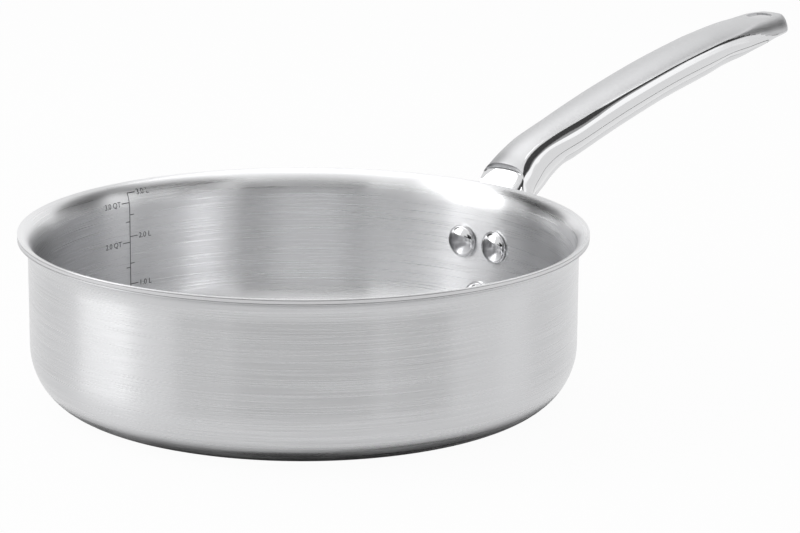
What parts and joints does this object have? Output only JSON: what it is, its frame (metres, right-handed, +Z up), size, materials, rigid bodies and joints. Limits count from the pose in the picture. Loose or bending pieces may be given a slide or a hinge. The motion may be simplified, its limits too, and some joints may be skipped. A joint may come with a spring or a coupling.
{
  "type": "saute pan",
  "caption": "Round straight-sided saute pan of clad steel with a pouring lip, and a riveted hollow steel handle that ends in a hanging hole.",
  "frame": {"origin": "middle of the flat base, on the surface that the pan stands on", "axes": "+Z up; +X from the pan's middle towards the handle's end; +Y to the left of the handle, seen from the pan"},
  "size_m": [0.5522, 0.2904, 0.1516],
  "materials": {
    "pan_outside": "stainless steel, brushed round the wall",
    "pan_core": "bare cut edge at the lip",
    "pan_inside": "stainless steel, brushed round the wall",
    "handle_top": "satin top face, polished edges",
    "handle_underside": "polished",
    "rivets": "mirror-polished domes"
  },
  "bodies": {
    "root": {"pan_outer_ply": "pan_outside", "pan_core": "pan_core", "pan_inner_ply": "pan_inside", "handle_upper_shell": "handle_top", "handle_lower_shell": "handle_underside", "rivet_left": "rivets", "rivet_right": "rivets", "rivet_lower": "rivets"}
  },
  "joints": []
}
